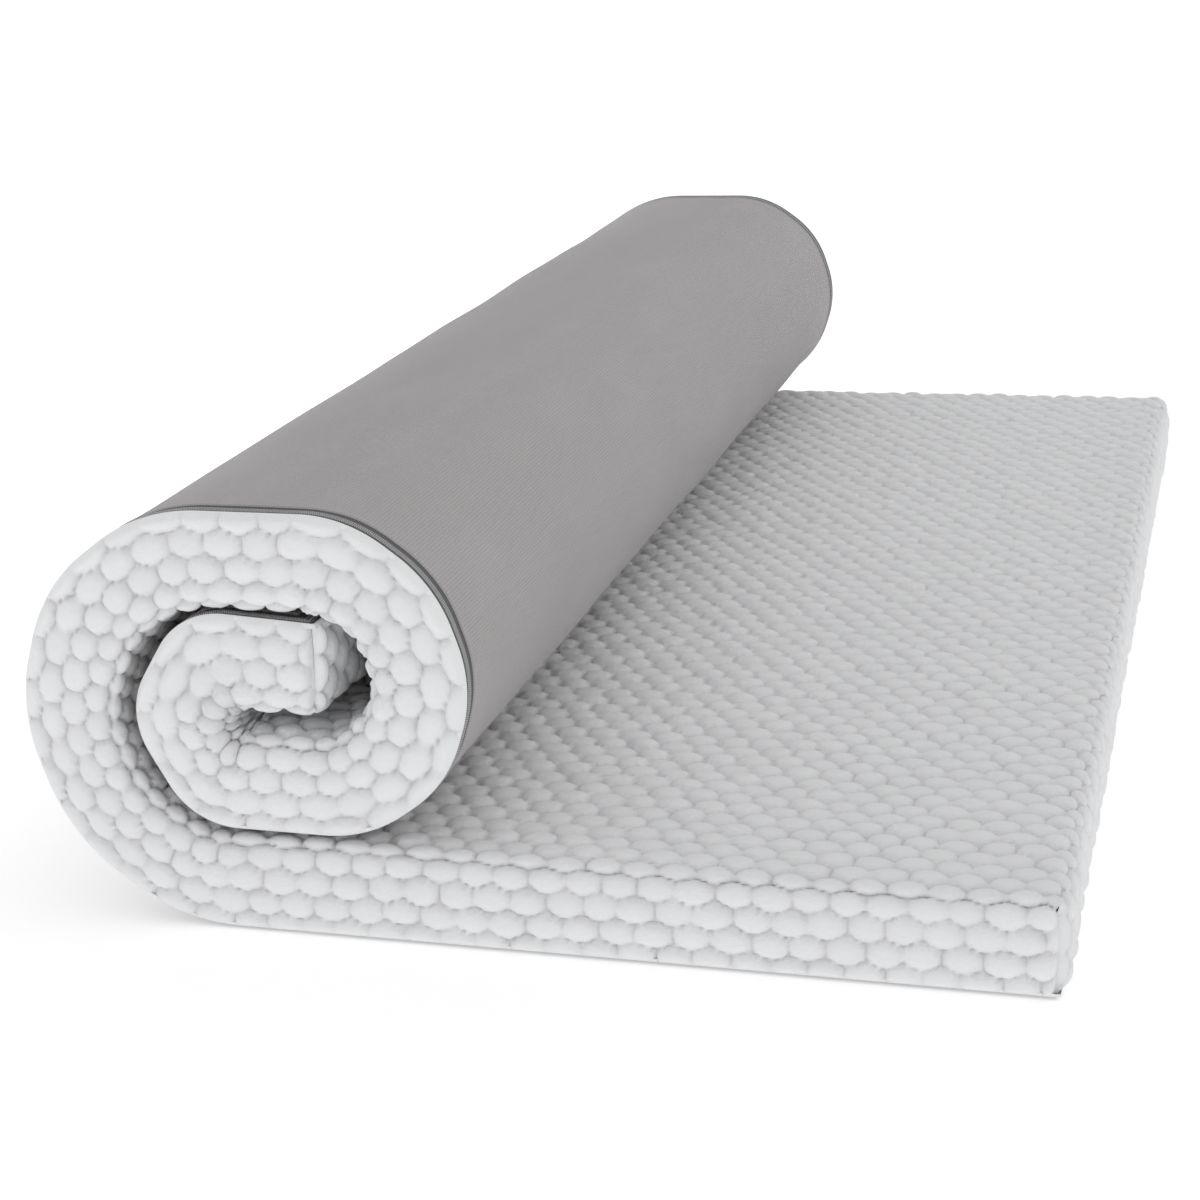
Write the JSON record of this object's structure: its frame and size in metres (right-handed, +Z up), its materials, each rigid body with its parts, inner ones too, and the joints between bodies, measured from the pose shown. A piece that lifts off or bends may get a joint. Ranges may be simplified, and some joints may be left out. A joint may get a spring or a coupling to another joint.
{
  "type": "memory foam mattress",
  "caption": "Half rolled memory foam mattress with a pebble-quilted white zip-off cover and a grey ribbed underside; it unrolls flat.",
  "frame": {"origin": "middle of the footprint of the half rolled mattress, on the surface that it lies on", "axes": "+X from the roll towards the flat end, +Y across the width along the roll's axis, +Z up"},
  "size_m": [0.9486, 1.8, 0.398],
  "materials": {
    "memory_foam": "open cell foam",
    "quilted_fabric": "quilted knit, matt",
    "grey_ribbed_fabric": "fine ribbed knit, matt",
    "zip_tape": "woven tape with silver grey coil",
    "zip_metal": "satin enamel"
  },
  "bodies": {
    "slab": {"foam_core_slab": "memory_foam", "quilted_cover_slab": "quilted_fabric", "underside_panel_slab": "grey_ribbed_fabric", "zip_chain_slab": "zip_tape"},
    "left_bend_1": {"foam_core_left_bend_1": "memory_foam", "quilted_cover_left_bend_1": "quilted_fabric", "underside_panel_left_bend_1": "grey_ribbed_fabric", "zip_chain_left_bend_1": "zip_tape"},
    "left_bend_2": {"foam_core_left_bend_2": "memory_foam", "quilted_cover_left_bend_2": "quilted_fabric", "underside_panel_left_bend_2": "grey_ribbed_fabric", "zip_chain_left_bend_2": "zip_tape"},
    "left_bend_3": {"foam_core_left_bend_3": "memory_foam", "quilted_cover_left_bend_3": "quilted_fabric", "underside_panel_left_bend_3": "grey_ribbed_fabric", "zip_chain_left_bend_3": "zip_tape"},
    "left_bend_4": {"foam_core_left_bend_4": "memory_foam", "quilted_cover_left_bend_4": "quilted_fabric", "underside_panel_left_bend_4": "grey_ribbed_fabric", "zip_chain_left_bend_4": "zip_tape"},
    "top_run": {"foam_core_top_run": "memory_foam", "quilted_cover_top_run": "quilted_fabric", "underside_panel_top_run": "grey_ribbed_fabric", "zip_chain_top_run": "zip_tape"},
    "right_bend_1": {"foam_core_right_bend_1": "memory_foam", "quilted_cover_right_bend_1": "quilted_fabric", "underside_panel_right_bend_1": "grey_ribbed_fabric", "zip_chain_right_bend_1": "zip_tape"},
    "right_bend_2": {"foam_core_right_bend_2": "memory_foam", "quilted_cover_right_bend_2": "quilted_fabric", "underside_panel_right_bend_2": "grey_ribbed_fabric", "zip_chain_right_bend_2": "zip_tape"},
    "right_bend_3": {"foam_core_right_bend_3": "memory_foam", "quilted_cover_right_bend_3": "quilted_fabric", "underside_panel_right_bend_3": "grey_ribbed_fabric", "zip_chain_right_bend_3": "zip_tape"},
    "right_bend_4": {"foam_core_right_bend_4": "memory_foam", "quilted_cover_right_bend_4": "quilted_fabric", "underside_panel_right_bend_4": "grey_ribbed_fabric", "zip_chain_right_bend_4": "zip_tape"},
    "under_run": {"foam_core_under_run": "memory_foam", "quilted_cover_under_run": "quilted_fabric", "underside_panel_under_run": "grey_ribbed_fabric", "zip_chain_under_run": "zip_tape"},
    "fold_1": {"foam_core_fold_1": "memory_foam", "quilted_cover_fold_1": "quilted_fabric", "underside_panel_fold_1": "grey_ribbed_fabric", "zip_chain_fold_1": "zip_tape"},
    "fold_2": {"foam_core_fold_2": "memory_foam", "quilted_cover_fold_2": "quilted_fabric", "underside_panel_fold_2": "grey_ribbed_fabric", "zip_chain_fold_2": "zip_tape"},
    "tail": {"foam_core_tail": "memory_foam", "quilted_cover_tail": "quilted_fabric", "underside_panel_tail": "grey_ribbed_fabric", "zip_chain_tail": "zip_tape"},
    "zip_slider": {"zip_slider": "zip_metal"},
    "pull_tab": {"zip_pull_tab": "zip_metal"}
  },
  "joints": [
    {"name": "unroll", "type": "hinge", "parent": "slab", "child": "left_bend_1", "pos_m": [-0.3197, 0, 0.045], "axis": [0, -1, 0], "range_deg": [0, 36]},
    {"name": "bend_02", "type": "hinge", "parent": "left_bend_1", "child": "left_bend_2", "pos_m": [-0.40066, 0, 0.10382], "axis": [0, -1, 0], "range_deg": [0, 36.2]},
    {"name": "bend_03", "type": "hinge", "parent": "left_bend_2", "child": "left_bend_3", "pos_m": [-0.43158, 0, 0.199], "axis": [0, -1, 0], "range_deg": [0, 36.2]},
    {"name": "bend_04", "type": "hinge", "parent": "left_bend_3", "child": "left_bend_4", "pos_m": [-0.40066, 0, 0.29418], "axis": [0, -1, 0], "range_deg": [0, 36.2]},
    {"name": "bend_05", "type": "hinge", "parent": "left_bend_4", "child": "top_run", "pos_m": [-0.3197, 0, 0.353], "axis": [0, -1, 0], "range_deg": [0, 36.2]},
    {"name": "bend_06", "type": "hinge", "parent": "top_run", "child": "right_bend_1", "pos_m": [-0.15744, 0, 0.353], "axis": [0, -1, 0], "range_deg": [0, 36.3]},
    {"name": "bend_07", "type": "hinge", "parent": "right_bend_1", "child": "right_bend_2", "pos_m": [-0.10214, 0, 0.31268], "axis": [0, -1, 0], "range_deg": [0, 36.3]},
    {"name": "bend_08", "type": "hinge", "parent": "right_bend_2", "child": "right_bend_3", "pos_m": [-0.08122, 0, 0.24752], "axis": [0, -1, 0], "range_deg": [0, 36.3]},
    {"name": "bend_09", "type": "hinge", "parent": "right_bend_3", "child": "right_bend_4", "pos_m": [-0.10271, 0, 0.18254], "axis": [0, -1, 0], "range_deg": [0, 36.3]},
    {"name": "bend_10", "type": "hinge", "parent": "right_bend_4", "child": "under_run", "pos_m": [-0.15836, 0, 0.1427], "axis": [0, -1, 0], "range_deg": [0, 36.3]},
    {"name": "bend_11", "type": "hinge", "parent": "under_run", "child": "fold_1", "pos_m": [-0.28615, 0, 0.14382], "axis": [0, -1, 0], "range_deg": [0, 61.2]},
    {"name": "bend_12", "type": "hinge", "parent": "fold_1", "child": "fold_2", "pos_m": [-0.31819, 0, 0.20283], "axis": [0, -1, 0], "range_deg": [0, 61.2]},
    {"name": "bend_13", "type": "hinge", "parent": "fold_2", "child": "tail", "pos_m": [-0.28211, 0, 0.25947], "axis": [0, -1, 0], "range_deg": [0, 61.2]},
    {"name": "zip_travel", "type": "slide", "parent": "left_bend_2", "child": "zip_slider", "axis": [-0.309, 0, 0.9511], "range_m": [-0.025, 0.025]},
    {"name": "tab_swing", "type": "hinge", "parent": "zip_slider", "child": "pull_tab", "pos_m": [-0.46206, -0.885, 0.13649], "axis": [0, -1, 0], "range_deg": [0, 165]}
  ],
  "couplings": [
    {"joint": "bend_02", "follows": "unroll", "ratio": 1},
    {"joint": "bend_03", "follows": "unroll", "ratio": 1},
    {"joint": "bend_04", "follows": "unroll", "ratio": 1},
    {"joint": "bend_05", "follows": "unroll", "ratio": 1},
    {"joint": "bend_06", "follows": "unroll", "ratio": 1.0028},
    {"joint": "bend_07", "follows": "unroll", "ratio": 1.0028},
    {"joint": "bend_08", "follows": "unroll", "ratio": 1.0028},
    {"joint": "bend_09", "follows": "unroll", "ratio": 1.0028},
    {"joint": "bend_10", "follows": "unroll", "ratio": 1.0028},
    {"joint": "bend_11", "follows": "unroll", "ratio": 1.6944},
    {"joint": "bend_12", "follows": "unroll", "ratio": 1.6944},
    {"joint": "bend_13", "follows": "unroll", "ratio": 1.6944}
  ]
}
